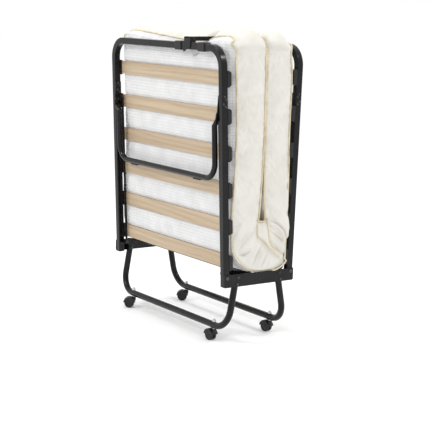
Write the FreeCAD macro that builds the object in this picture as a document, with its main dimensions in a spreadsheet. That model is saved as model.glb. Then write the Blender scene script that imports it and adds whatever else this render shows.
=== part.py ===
import FreeCAD, Part
import math
import os
import re

import Sketcher

# Folding guest bed, stored upright. Origin: on the floor, at the middle of the folded bed.
# X runs along the bed's width, the front half is on -Y and the rear half on +Y, +Z is up.
# Pieces of a half are modelled in the half's own axes: X as above, Y from the tube towards
# the mattress, Z along the tube from the hinge pin. place_half() then leans the half outwards.

V = FreeCAD.Vector
doc = FreeCAD.newDocument("folding_cot")
sheet = doc.addObject("Spreadsheet::Sheet", "Sizes")

SIZES = [
    # frame halves
    ("bed_width", 800, "over the frame tubes"),
    ("tube_size", 25, "square tube of the halves"),
    ("tube_wall", 1.5, ""),
    ("tube_round", 3, "outer edge radius of the square tube"),
    ("hinge_out", 142.6, "hinge pin from the middle plane"),
    ("hinge_up", 257, "hinge pin above the floor"),
    ("lean_angle", 1.84, "outward lean of a folded half, degrees"),
    ("half_length", 831, "hinge pin to the middle of the end bar"),
    ("corner_radius", 70, "end corners, to the tube's middle"),
    ("tail_length", 31, "tube below the hinge pin"),
    ("cap_thickness", 4, "plastic cap on the tube's end"),
    ("pin_radius", 4, "hinge pin"),
    ("run_gap", 0.05, "radial gap of a turning fit"),
    # slats and their holders
    ("slat_first", 722, "hinge pin to the end slat"),
    ("slat_pitch", 133.5, ""),
    ("slat_width", 51, ""),
    ("slat_thickness", 7.5, ""),
    ("slat_front", 18.5, "tube middle to the slat's outer face"),
    ("slat_inset", 8, "slat end inside the tube's outer face"),
    ("holder_height", 58, ""),
    ("holder_depth", 15.3, "from the tube's face towards the mattress"),
    ("holder_inset", 27, "holder length along the slat"),
    ("slot_gap", 0.2, "slat to holder"),
    # swing legs and their links
    ("leg_pivot_up", 597, "hinge pin to the leg pivot, along the tube"),
    ("leg_pivot_out", -4, "leg pivot from the tube's middle"),
    ("link_offset", 9.5, "second pin from the first, both ways"),
    ("leg_drop", 252, "leg pivot to the underside of the feet"),
    ("leg_radius", 10.5, "swing leg tube"),
    ("leg_wall", 1.5, "round tube wall"),
    ("leg_side", 348.5, "side of the leg from the middle"),
    ("leg_depth", -12.5, "leg tube from the half's tube middle"),
    ("leg_bend", 62, "bend of the swing leg"),
    ("leg_neck", 42, "pivot to the end of the round tube"),
    ("head_inner", 366.3, "inner face of the flattened leg head"),
    ("head_thickness", 5.2, ""),
    ("foot_height", 3, "rubber foot below the leg bar"),
    ("foot_length", 46, ""),
    ("foot_side", 230, "rubber foot from the middle"),
    ("small_pin", 3, "leg and link pin radius"),
    ("open_pin", 2.5, "upper link pin radius"),
    ("open_gap", 0.5, "radial clearance of the upper link hole"),
    ("link_inner", 350.5, "inner face of the link bar"),
    ("link_thickness", 3, ""),
    ("link_width", 9, ""),
    ("bracket_thickness", 3, ""),
    ("rivet_radius", 2.5, ""),
    # centre section
    ("plate_bottom", 222, "above the floor"),
    ("plate_top", 268, "above the floor"),
    ("plate_thickness", 3.5, ""),
    ("plate_overhang", 13, "past the hinge pin"),
    ("plate_gap", 0.3, "frame tube to side plate"),
    ("cross_out", 32, "cross tube from the middle plane"),
    ("cross_size", 16, ""),
    ("cross_wall", 1.5, ""),
    ("lug_thickness", 3.5, ""),
    # castor legs and castors
    ("stand_radius", 12.5, "castor leg tube"),
    ("stand_bar_out", 128, "leg bar from the middle plane"),
    ("stand_bar_up", 60, "leg bar above the floor"),
    ("stand_splay", 10.2, "degrees from upright"),
    ("stand_bend", 75, "leg frame bend"),
    ("stand_height", 203, "bar to the top of the leg, along it"),
    ("stem_side", 300, "castor stem from the middle"),
    ("stem_radius", 4, ""),
    ("wheel_radius", 20, ""),
    ("wheel_inner", 3.5, "wheel from the castor's middle"),
    ("wheel_outer", 14.5, ""),
    ("trail", 18, "axle behind the stem"),
    ("axle_radius", 3, ""),
    # latch
    ("latch_up", 858, "latch pivot, along the tube"),
    ("latch_middle", 176, "latch arm from the middle, along the bar"),
    ("latch_width", 32, ""),
    ("latch_wall", 3, ""),
    ("latch_height", 15.5, ""),
    # mattress
    ("mattress_width", 782, ""),
    ("mattress_top", 1145, "above the floor"),
    ("mattress_split", 352, "where the layers meet the bend"),
    ("mattress_bottom", 268.5, ""),
    ("mattress_face", 28.7, "tube middle to the mattress"),
    ("crease_out", 18, "where the two layers meet"),
    ("layer_gap", 0.5, "half the gap between mattress solids"),
    ("groove_side", 4, "mattress clear of the latch arm"),
    ("groove_bottom", 1082, ""),
]

for row, (alias, value, note) in enumerate(SIZES, 1):
    sheet.set(f"A{row}", note or alias.replace("_", " "))
    sheet.set(f"B{row}", str(value))
    sheet.setAlias(f"B{row}", alias)
doc.recompute()

ALIASES = re.compile(r"\b(" + "|".join(alias for alias, _, _ in SIZES) + r")\b")
nodes = {}


# ---------------------------------------------------------------- helpers

def size(alias):
    return float(sheet.get(alias))


def formula(text):
    """A formula in the sheet's words, as an expression of the document."""
    return ALIASES.sub(r"Sizes.\1", str(text))


def bind(thing, **values):
    """Bind properties of a thing to formulas; __ stands for a dot."""
    for prop, text in values.items():
        thing.setExpression(prop.replace("__", "."), formula(text))


def keep(label, thing):
    """Name a finished sub-part: its label is its node and its file."""
    thing.Label = label
    nodes[label] = thing
    return thing


def box(name, length, width, height, corner):
    piece = doc.addObject("Part::Box", name)
    bind(piece, Length=length, Width=width, Height=height)
    for axis, text in zip("xyz", corner):
        piece.setExpression(f"Placement.Base.{axis}", formula(text))
    return piece


def cylinder(name, radius, length, start, along="x"):
    """A cylinder from a start point along an axis."""
    turns = {"x": (V(0, 1, 0), 90), "y": (V(1, 0, 0), -90), "z": (V(0, 0, 1), 0)}
    piece = doc.addObject("Part::Cylinder", name)
    piece.Placement.Rotation = FreeCAD.Rotation(*turns[along])
    bind(piece, Radius=radius, Height=length)
    for axis, text in zip("xyz", start):
        piece.setExpression(f"Placement.Base.{axis}", formula(text))
    return piece


def cut(name, base, *tools):
    for number, tool in enumerate(tools, 1):
        result = doc.addObject("Part::Cut", f"{name}_cut{number}")
        result.Base = base
        result.Tool = tool
        base = result
    return base


def fuse(name, *pieces):
    result = doc.addObject("Part::MultiFuse", name)
    result.Shapes = list(pieces)
    result.Refine = True
    return result


def group(name, *pieces):
    """Separate solids in one sub-part."""
    result = doc.addObject("Part::Compound", name)
    result.Links = list(pieces)
    return result


def mirrored(piece, name):
    """The same piece on the other side of the bed's width."""
    result = doc.addObject("Part::Mirroring", name)
    result.Source = piece
    result.Normal = V(1, 0, 0)
    return result


def both_sides(name, *pieces):
    """Right-hand pieces with their left-hand twins, as one sub-part."""
    twins = [mirrored(piece, f"{name}_left{number}") for number, piece in enumerate(pieces, 1)]
    return group(name, *pieces, *twins)


def fillet(name, base, radius, choose):
    """Round the edges of a piece for which choose(edge) is true."""
    doc.recompute()
    result = doc.addObject("Part::Fillet", name)
    result.Base = base
    numbers = [i for i, edge in enumerate(base.Shape.Edges, 1) if choose(edge)]
    result.Edges = [(i, radius, radius) for i in numbers]
    return result


def direction(edge):
    """The unit direction of a straight edge, or a null vector."""
    if not isinstance(edge.Curve, Part.Line):
        return V()
    step = edge.Vertexes[-1].Point - edge.Vertexes[0].Point
    return step.normalize()


def runs_along(edge, axis):
    return abs(abs(getattr(direction(edge), axis)) - 1) < 1e-6


def origin_plane(body, role):
    return next(f for f in body.Origin.OriginFeatures if f.Role == role)


def sketch_on(body, role, name, offset=None):
    sketch = body.newObject("Sketcher::SketchObject", name)
    sketch.AttachmentSupport = [(origin_plane(body, role), "")]
    sketch.MapMode = "FlatFace"
    if offset:
        for axis, text in zip("xyz", offset):
            sketch.setExpression(f"AttachmentOffset.Base.{axis}", formula(text))
    return sketch


def value_of(text):
    """The present value of a formula in the sheet's words."""
    words = ALIASES.sub(lambda found: repr(size(found.group(1))), str(text))
    probe = doc.getObject("Probe") or doc.addObject("App::FeaturePython", "Probe")
    if "Value" not in probe.PropertiesList:
        probe.addProperty("App::PropertyFloat", "Value")
    probe.setExpression("Value", words)
    probe.recompute()
    return probe.Value


def fix_point(sketch, geometry, end, x, y):
    """Hold one end of a sketch element at formulas from the sketch's origin; None leaves it."""
    for kind, text in (("DistanceX", x), ("DistanceY", y)):
        if text is None:
            continue
        number = sketch.addConstraint(Sketcher.Constraint(kind, -1, 1, geometry, end, value_of(text)))
        sketch.setExpression(f"Constraints[{number}]", formula(text))


def draw_polygon(sketch, points):
    corners = [V(value_of(x), value_of(y), 0) for x, y in points]
    first = sketch.GeometryCount
    count = len(points)
    for i in range(count):
        sketch.addGeometry(Part.LineSegment(corners[i], corners[(i + 1) % count]))
    for i in range(count):
        sketch.addConstraint(
            Sketcher.Constraint("Coincident", first + i, 2, first + (i + 1) % count, 1))
    for i, (x, y) in enumerate(points):
        fix_point(sketch, first + i, 1, x, y)


def draw_circle(sketch, x, y, radius):
    centre = V(value_of(x), value_of(y), 0)
    number = sketch.addGeometry(Part.Circle(centre, V(0, 0, 1), value_of(radius)))
    fix_point(sketch, number, 3, x, y)
    held = sketch.addConstraint(Sketcher.Constraint("Radius", number, value_of(radius)))
    sketch.setExpression(f"Constraints[{held}]", formula(radius))


def draw_square(sketch, side, corner):
    """A square about the sketch's origin with rounded corners."""
    half, radius = value_of(side) / 2, value_of(corner)
    lines = []
    for turn in range(4):
        spin = FreeCAD.Rotation(V(0, 0, 1), 90 * turn)
        ends = (V(-half + radius, -half, 0), V(half - radius, -half, 0))
        lines.append(sketch.addGeometry(Part.LineSegment(*(spin.multVec(end) for end in ends))))
        middle = spin.multVec(V(half - radius, -half + radius, 0))
        start = math.radians(90 * turn - 90)
        arc = Part.ArcOfCircle(Part.Circle(middle, V(0, 0, 1), radius), start, start + math.pi / 2)
        lines.append(sketch.addGeometry(arc))
    for i in range(0, 8, 2):
        sketch.addConstraint(Sketcher.Constraint("Tangent", lines[i], 2, lines[i + 1], 1))
        sketch.addConstraint(Sketcher.Constraint("Tangent", lines[i + 1], 2, lines[(i + 2) % 8], 1))
    for i in (0, 4):
        sketch.addConstraint(Sketcher.Constraint("Horizontal", lines[i]))
        sketch.addConstraint(Sketcher.Constraint("Vertical", lines[i + 2]))
    for i in (3, 5, 7):
        sketch.addConstraint(Sketcher.Constraint("Equal", lines[1], lines[i]))
    held = sketch.addConstraint(Sketcher.Constraint("Radius", lines[1], radius))
    sketch.setExpression(f"Constraints[{held}]", formula(corner))
    fix_point(sketch, lines[0], 1, f"{corner} - ({side}) / 2", f"-({side}) / 2")
    fix_point(sketch, lines[4], 1, f"({side}) / 2 - ({corner})", f"({side}) / 2")


def draw_arch(sketch, side, start, top, radius):
    """An open U on its side: up at +side, round a bend, across at top, and down at -side."""
    side_at, start_at, top_at, bend = (value_of(text) for text in (side, start, top, radius))
    way = 1 if top_at > start_at else -1
    turn_at = top_at - way * bend
    right = sketch.addGeometry(Part.LineSegment(V(side_at, start_at, 0), V(side_at, turn_at, 0)))
    quarter = math.pi / 2
    spans = ((0, quarter), (quarter, math.pi)) if way > 0 else ((-quarter, 0), (math.pi, 3 * quarter))
    circle = Part.Circle(V(side_at - bend, turn_at, 0), V(0, 0, 1), bend)
    near = sketch.addGeometry(Part.ArcOfCircle(circle, *spans[0]))
    across = sketch.addGeometry(
        Part.LineSegment(V(side_at - bend, top_at, 0), V(bend - side_at, top_at, 0)))
    circle = Part.Circle(V(bend - side_at, turn_at, 0), V(0, 0, 1), bend)
    far = sketch.addGeometry(Part.ArcOfCircle(circle, *spans[1]))
    left = sketch.addGeometry(Part.LineSegment(V(-side_at, turn_at, 0), V(-side_at, start_at, 0)))
    first, last = (1, 2) if way > 0 else (2, 1)
    for one, its_end, other, other_end in (
            (right, 2, near, first), (near, last, across, 1),
            (across, 2, far, first), (far, last, left, 1)):
        sketch.addConstraint(Sketcher.Constraint("Tangent", one, its_end, other, other_end))
    sketch.addConstraint(Sketcher.Constraint("Vertical", right))
    sketch.addConstraint(Sketcher.Constraint("Vertical", left))
    sketch.addConstraint(Sketcher.Constraint("Horizontal", across))
    sketch.addConstraint(Sketcher.Constraint("Equal", near, far))
    held = sketch.addConstraint(Sketcher.Constraint("Radius", near, bend))
    sketch.setExpression(f"Constraints[{held}]", formula(radius))
    fix_point(sketch, right, 1, side, start)
    fix_point(sketch, left, 2, f"-({side})", start)
    fix_point(sketch, across, 1, None, top)


def pad(body, sketch, length, symmetric=False, name="Pad"):
    feature = body.newObject("PartDesign::Pad", name)
    feature.Profile = sketch
    bind(feature, Length=length)
    if symmetric:
        feature.SideType = "Symmetric"
    return feature


def holes_along_x(body, points):
    """Round holes along X through everything: (y, z, radius) each."""
    before = body.Tip
    doc.recompute()
    volume = before.Shape.Volume
    sketch = sketch_on(body, "YZ_Plane", f"{body.Name}_holes")
    for y, z, radius in points:
        draw_circle(sketch, y, z, radius)
    pocket = body.newObject("PartDesign::Pocket", f"{body.Name}_drilled")
    pocket.Profile = sketch
    pocket.SideType = "Symmetric"
    pocket.Type = "ThroughAll"
    doc.recompute()
    if pocket.Shape.Volume > volume - 1:
        raise ValueError(f"{body.Name}: the holes cut nothing")
    return pocket


def new_body(name):
    return doc.addObject("PartDesign::Body", name)


def plate(name, outline, inner, thickness, holes):
    """A flat plate across X: an outline in Y and Z, its inner face and its thickness."""
    body = new_body(name)
    sketch = sketch_on(body, "YZ_Plane", f"{name}_outline", ("0", "0", inner))
    draw_polygon(sketch, outline)
    pad(body, sketch, thickness, name=f"{name}_pad")
    if holes:
        holes_along_x(body, holes)
    return body


def pipe(name, profile_offset, draw_profile, draw_path):
    """A tube: its section on the XY plane, swept along a path on the XZ plane."""
    body = new_body(name)
    section = sketch_on(body, "XY_Plane", f"{name}_section", profile_offset)
    draw_profile(section)
    path = sketch_on(body, "XZ_Plane", f"{name}_path")
    draw_path(path)
    doc.recompute()
    sweep = body.newObject("PartDesign::AdditivePipe", f"{name}_sweep")
    sweep.Profile = section
    sweep.Spine = (path, [f"Edge{i + 1}" for i in range(len(path.Shape.Edges))])
    return body


def place_half(half):
    """Where a folded half stands: on its hinge line, leaning outwards."""
    lean = FreeCAD.Rotation(V(1, 0, 0), size("lean_angle"))
    front = FreeCAD.Placement(V(0, -size("hinge_out"), size("hinge_up")), lean)
    if half == "front":
        return front
    turn = FreeCAD.Placement(V(), FreeCAD.Rotation(V(0, 0, 1), 180))
    return turn.multiply(front)


def half_node(label, thing, half):
    thing.Placement = place_half(half)
    return keep(label, thing)


POST = "(bed_width - tube_size) / 2"
OUTER = "bed_width / 2"
POST_INNER = "bed_width / 2 - tube_size"
LEG_PIN = ("leg_pivot_out", "leg_pivot_up")
LINK_PIN = ("leg_pivot_out + link_offset", "leg_pivot_up + link_offset")

# rivets of a leg bracket: towards the mattress, and above the leg pivot
RIVETS = [(-1, 63), (5, 53), (-5.6, 37), (3, 28)]


# ---------------------------------------------------------------- a frame half

def half_frame(half):
    def section(sketch):
        draw_square(sketch, "tube_size", "tube_round")
        draw_square(sketch, "tube_size - 2 * tube_wall", "tube_round - tube_wall")

    def path(sketch):
        draw_arch(sketch, POST, "-tail_length", "half_length", "corner_radius")

    body = pipe(f"Frame_{half}", (POST, "0", "-tail_length"), section, path)
    drill = [("0", "0", "pin_radius + run_gap")]
    drill += [(str(y), f"leg_pivot_up + {z}", "rivet_radius + run_gap") for y, z in RIVETS]
    holes_along_x(body, drill)
    half_node(f"{half}_frame_tube", body, half)


def end_caps(half):
    name = f"Cap_{half}"
    bottom = "-tail_length - cap_thickness"
    head = box(f"{name}_head", "tube_size", "tube_size", "cap_thickness",
               (POST_INNER, "-tube_size / 2", bottom))
    rounded = fillet(f"{name}_round", head, 3, lambda edge: edge.BoundBox.ZMax < -34.9
                     or runs_along(edge, "z"))
    plug_side = "tube_size - 2 * tube_wall - 0.4"
    plug = box(f"{name}_plug", plug_side, plug_side, "10",
               (f"{POST} - ({plug_side}) / 2", f"-({plug_side}) / 2", "-tail_length"))
    plug = fillet(f"{name}_plug_round", plug, 1.6, lambda edge: runs_along(edge, "z"))
    cap = fuse(f"{name}_whole", rounded, plug)
    half_node(f"{half}_end_caps", both_sides(name, cap), half)


def slats(half):
    for number in range(6):
        middle = f"slat_first - {number} * slat_pitch"
        blank = box(f"Slat_{half}_{number + 1}", "bed_width - 2 * slat_inset", "slat_thickness",
                    "slat_width", ("slat_inset - bed_width / 2", "slat_front",
                                   f"{middle} - slat_width / 2"))
        slat = fillet(f"Slat_{half}_{number + 1}_round", blank, 1.5,
                      lambda edge: runs_along(edge, "x"))
        half_node(f"{half}_slat_{number + 1}", slat, half)


def slat_holders(half):
    """Twelve plastic pockets on the tubes that hold the ends of the slats."""
    name = f"Holder_{half}"
    face = "tube_size / 2"
    depth = "holder_depth"
    outline = [
        (face, "-holder_height / 2"),
        (f"{face} + {depth} * 0.35", "-holder_height / 2"),
        (f"{face} + {depth}", "6 - holder_height / 2"),
        (f"{face} + {depth}", "holder_height / 2 - 6"),
        (f"{face} + {depth} * 0.35", "holder_height / 2"),
        (face, "holder_height / 2"),
    ]
    block = plate(f"{name}_block", outline, f"{OUTER} - holder_inset", "holder_inset", [])
    slot = box(f"{name}_slot", "holder_inset", "slat_thickness + 2 * slot_gap",
               "slat_width + 2 * slot_gap",
               (f"{OUTER} - holder_inset - slat_inset + slot_gap", "slat_front - slot_gap",
                "-slat_width / 2 - slot_gap"))
    pocket = cut(name, block, slot)
    doc.recompute()
    solids = []
    for number in range(6):
        up = size("slat_first") - number * size("slat_pitch")
        right = pocket.Shape.copy()
        right.translate(V(0, 0, up))
        solids += [right, right.mirror(V(), V(1, 0, 0))]
    holders = doc.addObject("Part::Feature", f"{name}_set")
    holders.Shape = Part.makeCompound(solids)
    half_node(f"{half}_slat_holders", holders, half)


def leg_brackets(half):
    outline = [
        ("leg_pivot_out - 12", "leg_pivot_up - 12"),
        ("leg_pivot_out + 8", "leg_pivot_up - 12"),
        ("11.5", "leg_pivot_up + 4"),
        ("11.5", "leg_pivot_up + 66"),
        ("6", "leg_pivot_up + 72"),
        ("-6", "leg_pivot_up + 72"),
        ("-11.5", "leg_pivot_up + 66"),
        ("-17", "leg_pivot_up + 10"),
    ]
    drill = [(*LEG_PIN, "small_pin")]
    drill += [(str(y), f"leg_pivot_up + {z}", "rivet_radius + run_gap") for y, z in RIVETS]
    body = plate(f"Bracket_{half}", outline, f"{POST_INNER} - bracket_thickness - 0.1",
                 "bracket_thickness", drill)
    half_node(f"{half}_leg_brackets", both_sides(f"Brackets_{half}", body), half)


def bracket_rivets(half):
    inner = f"{POST_INNER} - bracket_thickness - 0.1"
    pieces = []
    for number, (y, z) in enumerate(RIVETS, 1):
        name = f"Rivet_{half}_{number}"
        up = f"leg_pivot_up + {z}"
        shank = cylinder(f"{name}_shank", "rivet_radius", f"{OUTER} - ({inner})", (inner, str(y), up))
        inside = cylinder(f"{name}_inside", "rivet_radius + 1.8", "1.5", (f"{inner} - 1.5", str(y), up))
        dome = doc.addObject("Part::Cone", f"{name}_dome")
        dome.Placement.Rotation = FreeCAD.Rotation(V(0, 1, 0), 90)
        bind(dome, Radius1="rivet_radius + 1.8", Radius2="rivet_radius - 0.6", Height="1.8",
             Placement__Base__x=OUTER, Placement__Base__y=str(y), Placement__Base__z=up)
        pieces.append(fuse(f"{name}_whole", shank, inside, dome))
    half_node(f"{half}_bracket_rivets", both_sides(f"Rivets_{half}", *pieces), half)


def leg_pivot_pins(half):
    name = f"LegPin_{half}"
    bracket = f"{POST_INNER} - bracket_thickness - 0.1"
    inner = "head_inner - 0.3"
    shank = cylinder(f"{name}_shank", "small_pin", f"{POST_INNER} - ({inner})", (inner, *LEG_PIN))
    head = cylinder(f"{name}_head", "small_pin + 2.5", "2.2", (f"{inner} - 2.2", *LEG_PIN))
    pin = fuse(f"{name}_whole", shank, head)
    half_node(f"{half}_leg_pivot_pins", both_sides(name, pin), half)


# ---------------------------------------------------------------- a swing leg

def leg_head(half):
    """The flattened, cranked end of the leg tube, with both pin holes."""
    name = f"LegHead_{half}"
    neck = value_of("leg_pivot_up - leg_neck")
    flat = neck + 24
    middle = size("head_inner") + size("head_thickness") / 2
    deep = size("leg_depth")
    circle = Part.Circle(V(size("leg_side"), deep, neck), V(0, 0, 1), size("leg_radius"))
    squashed = Part.Ellipse(V(middle, deep + 15.5, flat),
                            V(middle + size("head_thickness") / 2, deep + 2, flat),
                            V(middle, deep + 2, flat))
    sections = [Part.Wire(Part.Edge(curve)) for curve in (circle, squashed)]
    crank = doc.addObject("Part::Feature", f"{name}_crank")
    crank.Shape = Part.makeLoft(sections, True, True)
    outline = [
        ("leg_depth - 9", "leg_pivot_up - leg_neck + 23"),
        ("leg_depth + 13", "leg_pivot_up - leg_neck + 23"),
        ("leg_pivot_out + 16", "leg_pivot_up + 4"),
        ("leg_pivot_out + 16", "leg_pivot_up + 13"),
        ("leg_pivot_out + 9", "leg_pivot_up + 17"),
        ("leg_pivot_out - 6", "leg_pivot_up + 14"),
        ("leg_pivot_out - 14", "leg_pivot_up + 2"),
    ]
    tab = plate(f"{name}_tab", outline, "head_inner", "head_thickness", [])
    plug = cylinder(f"{name}_plug", "leg_radius - leg_wall + 0.1", "8",
                    ("leg_side", "leg_depth", "leg_pivot_up - leg_neck - 4"), "z")
    return crank, tab, plug


def swing_leg(half):
    name = f"SwingLeg_{half}"
    bar = "leg_pivot_up - leg_drop + foot_height + leg_radius"

    def section(sketch):
        draw_circle(sketch, "0", "0", "leg_radius")
        draw_circle(sketch, "0", "0", "leg_radius - leg_wall")

    def path(sketch):
        draw_arch(sketch, "leg_side", "leg_pivot_up - leg_neck", bar, "leg_bend")

    tube = pipe(name, ("leg_side", "0", "leg_pivot_up - leg_neck"), section, path)
    tube.setExpression("Placement.Base.y", formula("leg_depth"))
    ends = []
    for piece in leg_head(half):
        ends += [piece, mirrored(piece, f"{piece.Name}_left")]
    whole = fuse(f"{name}_whole", tube, *ends)
    start = "-bed_width / 2"
    pivot = cylinder(f"{name}_pivot", "small_pin + run_gap", "bed_width", (start, *LEG_PIN))
    second = cylinder(f"{name}_second", "open_pin", "bed_width", (start, *LINK_PIN))
    half_node(f"{half}_swing_leg", cut(name, whole, pivot, second), half)


def leg_feet(half):
    """Rubber pads under the swing leg's bar, shaped to the tube."""
    name = f"Foot_{half}"
    bottom = "leg_pivot_up - leg_drop"
    block = box(name, "foot_length", "14", "foot_height + leg_radius",
                ("foot_side - foot_length / 2", "leg_depth - 7", bottom))
    rounded = fillet(f"{name}_round", block, 2, lambda edge: runs_along(edge, "z"))
    seat = cylinder(f"{name}_seat", "leg_radius + 0.02", "foot_length + 20",
                    ("foot_side - foot_length / 2 - 10", "leg_depth",
                     f"{bottom} + foot_height + leg_radius"))
    foot = cut(f"{name}_pad", rounded, seat)
    half_node(f"{half}_leg_feet", both_sides(f"Feet_{half}", foot), half)


def link_pins(half):
    name = f"LinkPin_{half}"
    inner = "link_inner - 0.5"
    shank = cylinder(f"{name}_shank", "open_pin", f"head_inner + head_thickness - ({inner})",
                     (inner, *LINK_PIN))
    head = cylinder(f"{name}_head", "open_pin + 2.2", "1.8", (f"{inner} - 1.8", *LINK_PIN))
    sleeve = cylinder(f"{name}_sleeve", "open_pin + 1.8",
                      "head_inner - (link_inner + link_thickness + 0.3) - 0.1",
                      ("link_inner + link_thickness + 0.3", *LINK_PIN))
    pin = fuse(f"{name}_whole", shank, head, sleeve)
    half_node(f"{half}_link_pins", both_sides(name, pin), half)


def link_bars(half):
    """Flat bars from the centre section's lugs to the swing leg's second pins."""
    name = f"Link_{half}"
    body = new_body(name)
    sketch = sketch_on(body, "YZ_Plane", f"{name}_outline", ("0", "0", "link_inner"))
    reach = math.hypot(size("leg_pivot_out"), size("leg_pivot_up"))
    wide = size("link_width") / 2
    sketch.addGeometry(Part.LineSegment(V(-wide, reach, 0), V(-wide, 0, 0)))
    sketch.addGeometry(Part.ArcOfCircle(Part.Circle(V(), V(0, 0, 1), wide), math.pi, 2 * math.pi))
    sketch.addGeometry(Part.LineSegment(V(wide, 0, 0), V(wide, reach, 0)))
    circle = Part.Circle(V(0, reach, 0), V(0, 0, 1), wide)
    sketch.addGeometry(Part.ArcOfCircle(circle, 0, math.pi))
    for one, its_end, other, other_end in ((0, 2, 1, 1), (1, 2, 2, 1), (2, 2, 3, 1), (3, 2, 0, 1)):
        sketch.addConstraint(Sketcher.Constraint("Tangent", one, its_end, other, other_end))
    fix_point(sketch, 1, 3, "0", "0")
    fix_point(sketch, 3, 3, "0", "sqrt(leg_pivot_out ^ 2 + leg_pivot_up ^ 2)")
    held = sketch.addConstraint(Sketcher.Constraint("Radius", 1, wide))
    sketch.setExpression(f"Constraints[{held}]", formula("link_width / 2"))
    pad(body, sketch, "link_thickness", name=f"{name}_pad")
    holes_along_x(body, [
        ("0", "0", "small_pin + run_gap"),
        ("0", "sqrt(leg_pivot_out ^ 2 + leg_pivot_up ^ 2)", "open_pin + open_gap"),
    ])
    tilt = math.degrees(math.atan2(-size("leg_pivot_out"), size("leg_pivot_up")))
    body.Placement = FreeCAD.Placement(V(0, size("link_offset"), size("link_offset")),
                                       FreeCAD.Rotation(V(1, 0, 0), tilt))
    half_node(f"{half}_link_bars", both_sides(f"Links_{half}", body), half)


# ---------------------------------------------------------------- centre section

def hinge_points(half):
    """Hinge pin and lower link pin of a half, in Y and Z, as formulas."""
    way = "-" if half == "front" else ""
    slant = "link_offset * (cos(lean_angle) - sin(lean_angle))"
    rise = "link_offset * (cos(lean_angle) + sin(lean_angle))"
    return ((f"{way}hinge_out", "hinge_up"), (f"{way}(hinge_out - {slant})", f"hinge_up + {rise}"))


def side_plates():
    end = "hinge_out + plate_overhang"
    outline = [
        (f"-({end}) + 4", "plate_bottom"), (f"{end} - 4", "plate_bottom"),
        (end, "plate_bottom + 4"), (end, "plate_top"), (f"-({end})", "plate_top"),
        (f"-({end})", "plate_bottom + 4"),
    ]
    drill = [(*hinge_points(half)[0], "pin_radius") for half in ("front", "rear")]
    drill += [(y, z, "small_pin + run_gap") for y, z in bolt_points()]
    right = plate("SidePlate", outline, f"{OUTER} + plate_gap", "plate_thickness", drill)
    left = mirrored(right, "SidePlateLeft")
    keep("side_plate_right", right)
    keep("side_plate_left", left)


def cross_tubes():
    tubes = []
    for way in ("-", ""):
        name = "CrossTube_" + ("front" if way else "rear")
        body = new_body(name)
        sketch = sketch_on(body, "YZ_Plane", f"{name}_section",
                           (f"{way}cross_out", "plate_top - 0.5 - cross_size / 2", "0"))
        draw_square(sketch, "cross_size", "tube_round")
        draw_square(sketch, "cross_size - 2 * cross_wall", "tube_round - cross_wall")
        pad(body, sketch, "bed_width + 2 * plate_gap", symmetric=True, name=f"{name}_pad")
        tubes.append(body)
    keep("cross_tubes", group("CrossTubes", *tubes))


def link_lugs():
    """Flat lugs, welded to the cross tubes, that carry the lower ends of the link bars."""
    lugs = []
    for half in ("front", "rear"):
        (_, _), (y, z) = hinge_points(half)
        way = "-" if half == "front" else ""
        root = f"{way}(cross_out + cross_size / 2)"
        outline = [
            (root, "plate_top - 15"), (root, "plate_top - 2"), (f"{y} - {way}(57)", f"{z} + 7"),
            (f"{y} - {way}(14)", f"{z} + 14"), (f"{y} + {way}(3)", f"{z} + 9"),
            (f"{y} + {way}(9)", f"{z} + 2"), (f"{y} + {way}(6)", f"{z} - 8"),
            (f"{y} - {way}(14)", f"{z} - 14"),
        ]
        lugs.append(plate(f"Lug_{half}", outline, "link_inner + link_thickness + 0.5",
                          "lug_thickness", [(y, z, "small_pin")]))
    keep("link_lugs", both_sides("Lugs", *lugs))


def pivot_pins():
    pins = []
    for half in ("front", "rear"):
        (hinge_y, hinge_z), (link_y, link_z) = hinge_points(half)
        name = f"Pin_{half}"
        inner = f"{POST_INNER} + tube_wall - 3"
        shank = cylinder(f"{name}_shank", "pin_radius", f"{OUTER} + plate_gap + plate_thickness - ({inner})",
                         (inner, hinge_y, hinge_z))
        head = cylinder(f"{name}_head", "pin_radius + 3", "2.4",
                        (f"{OUTER} + plate_gap + plate_thickness", hinge_y, hinge_z))
        pins.append(fuse(f"{name}_hinge", shank, fillet(f"{name}_dome", head, 1.2, lambda edge:
                                                        edge.BoundBox.XMin > 405)))
        start = "link_inner - 0.3"
        shank = cylinder(f"{name}_link_shank", "small_pin", f"link_thickness + 0.8 + lug_thickness",
                         (start, link_y, link_z))
        head = cylinder(f"{name}_link_head", "small_pin + 2", "2", (f"{start} - 2", link_y, link_z))
        pins.append(fuse(f"{name}_link", shank, head))
    keep("pivot_pins", both_sides("Pins", *pins))


def bolt_points():
    """Bolts that hold the castor legs to the side plates: two for each leg end."""
    points = []
    for way in ("-", ""):
        for up in ("plate_bottom + 9", "plate_top - 12"):
            points.append((f"{way}(stand_bar_out - tan(stand_splay) * ({up} - stand_bar_up))", up))
    return points


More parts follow.
